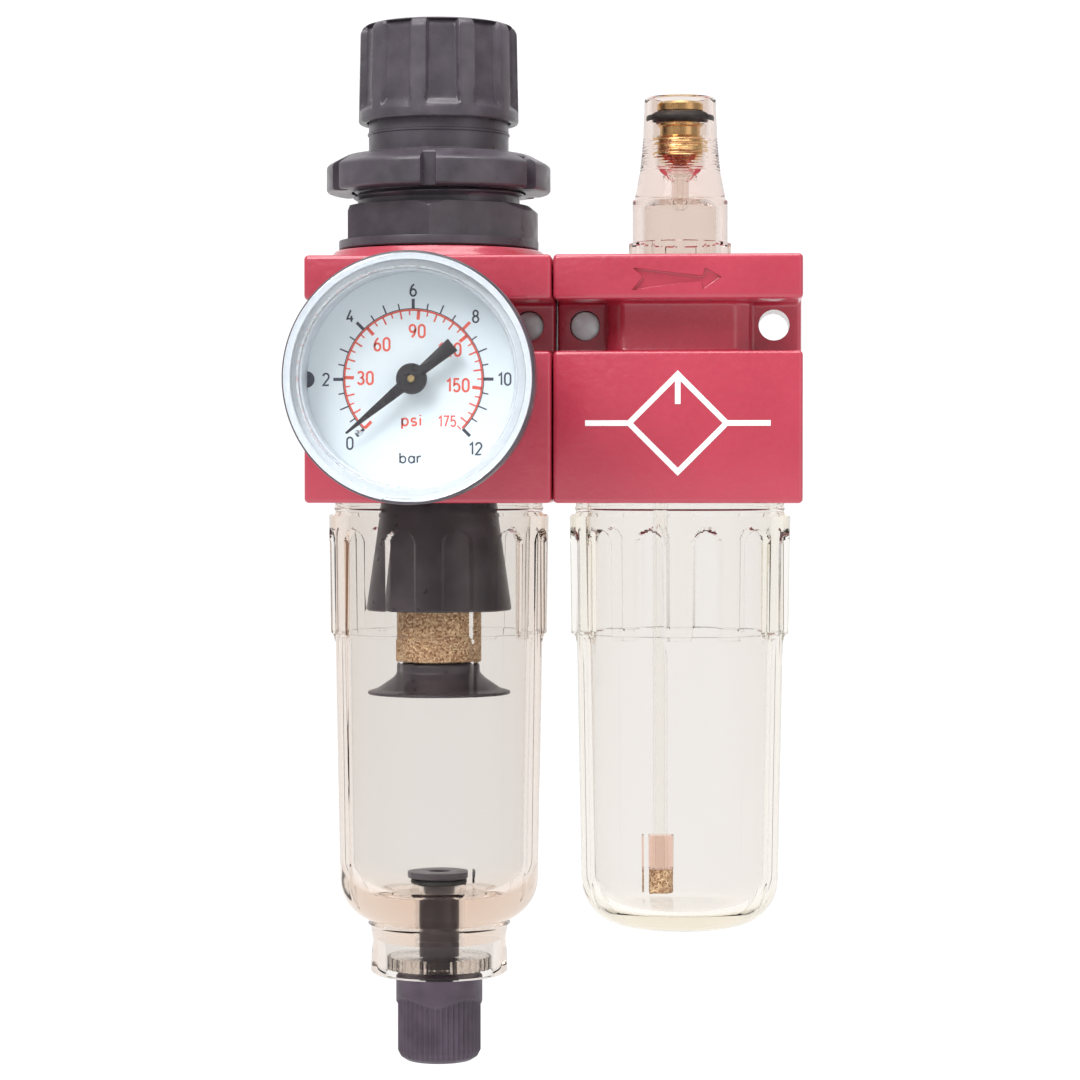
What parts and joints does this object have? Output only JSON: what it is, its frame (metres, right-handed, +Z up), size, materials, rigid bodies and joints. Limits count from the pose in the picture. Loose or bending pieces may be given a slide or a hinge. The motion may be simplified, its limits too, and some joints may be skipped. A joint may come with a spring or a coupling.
{
  "type": "filter regulator lubricator",
  "caption": "Pneumatic filter regulator with front gauge and push-lock knob, joined in line to a lubricator with sight dome; clear screwed bowls.",
  "frame": {"origin": "on the main port axis, where the two bodies meet", "axes": "+X along the flow from inlet to outlet, +Z up along both units' axes, -Y towards the gauge and the front"},
  "size_m": [0.0842, 0.075, 0.1815],
  "materials": {
    "red_powder_coat": "satin orange-peel powder coat",
    "black_plastic": "satin moulded",
    "clear_polycarbonate": "clear moulded, slightly warm",
    "brass": "turned",
    "zinc_plated_steel": "zinc plated",
    "sintered_bronze": "sintered, grainy",
    "black_rubber": "smooth",
    "white_enamel": "satin with printed scale",
    "black_enamel": "satin",
    "clear_acrylic": "polished",
    "natural_nylon": "smooth"
  },
  "bodies": {
    "frl_body": {"filter_regulator_body": "red_powder_coat", "lubricator_body": "red_powder_coat", "joining_nipple": "brass", "joining_seal": "black_rubber", "bonnet": "black_plastic", "range_spring": "zinc_plated_steel", "valve_spring": "zinc_plated_steel", "valve_carrier": "black_plastic", "deflector_shroud": "black_plastic", "filter_element": "sintered_bronze", "lower_baffle": "black_plastic", "rear_port_plug": "brass", "gauge_case": "black_plastic", "gauge_stem": "brass", "gauge_washer": "natural_nylon", "gauge_dial": "white_enamel", "gauge_lens": "clear_acrylic", "movement_plate": "brass", "bourdon_tube": "brass", "sight_dome": "clear_polycarbonate", "dome_seal": "black_rubber", "drip_nozzle": "brass", "siphon_tube": "natural_nylon", "siphon_filter": "sintered_bronze"},
    "panel_nut": {"panel_nut": "black_plastic"},
    "spindle": {"adjusting_spindle": "zinc_plated_steel"},
    "knob": {"adjusting_knob": "black_plastic"},
    "seat": {"spring_seat": "brass"},
    "piston": {"regulator_piston": "brass", "piston_seal": "black_rubber"},
    "poppet": {"valve_poppet": "brass"},
    "filter_bowl_ring": {"filter_bowl_seal": "black_rubber"},
    "filter_bowl_shell": {"filter_bowl": "clear_polycarbonate", "drain_retainer": "clear_polycarbonate"},
    "drain_grip": {"drain_knob": "black_plastic"},
    "drain_valve": {"drain_stem": "black_plastic", "drain_seal": "black_rubber"},
    "pointer": {"gauge_pointer": "black_enamel", "gauge_arbor": "brass"},
    "sector": {"gauge_sector": "brass"},
    "link": {"gauge_link": "brass"},
    "needle": {"needle_screw": "brass", "needle_seal": "black_rubber"},
    "ball": {"check_ball": "zinc_plated_steel"},
    "flap": {"damper_flap": "zinc_plated_steel"},
    "oil_bowl_ring": {"oil_bowl_seal": "black_rubber"},
    "oil_bowl_shell": {"oil_bowl": "clear_polycarbonate"}
  },
  "joints": [
    {"name": "panel_nut_turn", "type": "hinge", "parent": "frl_body", "child": "panel_nut", "pos_m": [-0.02115, 0, 0.04], "axis": [0, 0, 1], "range_deg": [-360, 360]},
    {"name": "adjusting_turn", "type": "hinge", "parent": "frl_body", "child": "spindle", "pos_m": [-0.02115, 0, 0.05], "axis": [0, 0, 1], "range_deg": [-1800, 0]},
    {"name": "knob_lift", "type": "slide", "parent": "spindle", "child": "knob", "axis": [0, 0, 1], "range_m": [0, 0.0025]},
    {"name": "spring_seat_travel", "type": "slide", "parent": "frl_body", "child": "seat", "axis": [0, 0, 1], "range_m": [-0.0075, 0], "deforming": ["range_spring"]},
    {"name": "piston_travel", "type": "slide", "parent": "frl_body", "child": "piston", "axis": [0, 0, 1], "range_m": [-0.0012, 0], "stiffness_N_per_m": 3000, "springref_m": 0.0005, "deforming": ["range_spring"]},
    {"name": "poppet_travel", "type": "slide", "parent": "frl_body", "child": "poppet", "axis": [0, 0, 1], "range_m": [-0.0012, 0], "deforming": ["valve_spring"]},
    {"name": "filter_bowl_removal", "type": "slide", "parent": "frl_body", "child": "filter_bowl_ring", "axis": [0, 0, 1], "range_m": [-0.045, 0]},
    {"name": "filter_bowl_turn", "type": "hinge", "parent": "filter_bowl_ring", "child": "filter_bowl_shell", "pos_m": [-0.02115, 0, -0.05], "axis": [0, 0, 1], "range_deg": [-360, 0]},
    {"name": "drain_turn", "type": "hinge", "parent": "filter_bowl_shell", "child": "drain_grip", "pos_m": [-0.02115, 0, -0.105], "axis": [0, 0, 1], "range_deg": [0, 360]},
    {"name": "drain_stem_lift", "type": "slide", "parent": "filter_bowl_shell", "child": "drain_valve", "axis": [0, 0, 1], "range_m": [0, 0.001]},
    {"name": "pointer_turn", "type": "hinge", "parent": "frl_body", "child": "pointer", "pos_m": [-0.02115, -0.046, 0.0031], "axis": [0, 1, 0], "range_deg": [0, 264], "stiffness_Nm_per_rad": 0.0001, "springref_deg": -11.46},
    {"name": "sector_turn", "type": "hinge", "parent": "frl_body", "child": "sector", "pos_m": [-0.02115, -0.038, -0.00795], "axis": [0, 1, 0], "range_deg": [-36, 0]},
    {"name": "link_turn", "type": "hinge", "parent": "sector", "child": "link", "pos_m": [-0.01815, -0.038, -0.00795], "axis": [0, 1, 0], "range_deg": [0, 36]},
    {"name": "needle_turn", "type": "hinge", "parent": "frl_body", "child": "needle", "pos_m": [0.02115, 0, 0.045], "axis": [0, 0, 1], "range_deg": [0, 720]},
    {"name": "check_ball_lift", "type": "slide", "parent": "frl_body", "child": "ball", "axis": [0, 0, 1], "range_m": [0, 0.001]},
    {"name": "flap_swing", "type": "hinge", "parent": "frl_body", "child": "flap", "pos_m": [0.02415, 0, 0.0043], "axis": [0, -1, 0], "range_deg": [0, 40]},
    {"name": "oil_bowl_removal", "type": "slide", "parent": "frl_body", "child": "oil_bowl_ring", "axis": [0, 0, 1], "range_m": [-0.082, 0]},
    {"name": "oil_bowl_turn", "type": "hinge", "parent": "oil_bowl_ring", "child": "oil_bowl_shell", "pos_m": [0.02115, 0, -0.05], "axis": [0, 0, 1], "range_deg": [-360, 0]}
  ],
  "couplings": [
    {"joint": "spring_seat_travel", "follows": "adjusting_turn", "m_per_rad": 0.0002387},
    {"joint": "poppet_travel", "follows": "piston_travel", "ratio": 1},
    {"joint": "drain_stem_lift", "follows": "drain_turn", "m_per_rad": 0.000159},
    {"joint": "sector_turn", "follows": "pointer_turn", "ratio": -0.13333},
    {"joint": "link_turn", "follows": "pointer_turn", "ratio": 0.13333}
  ]
}
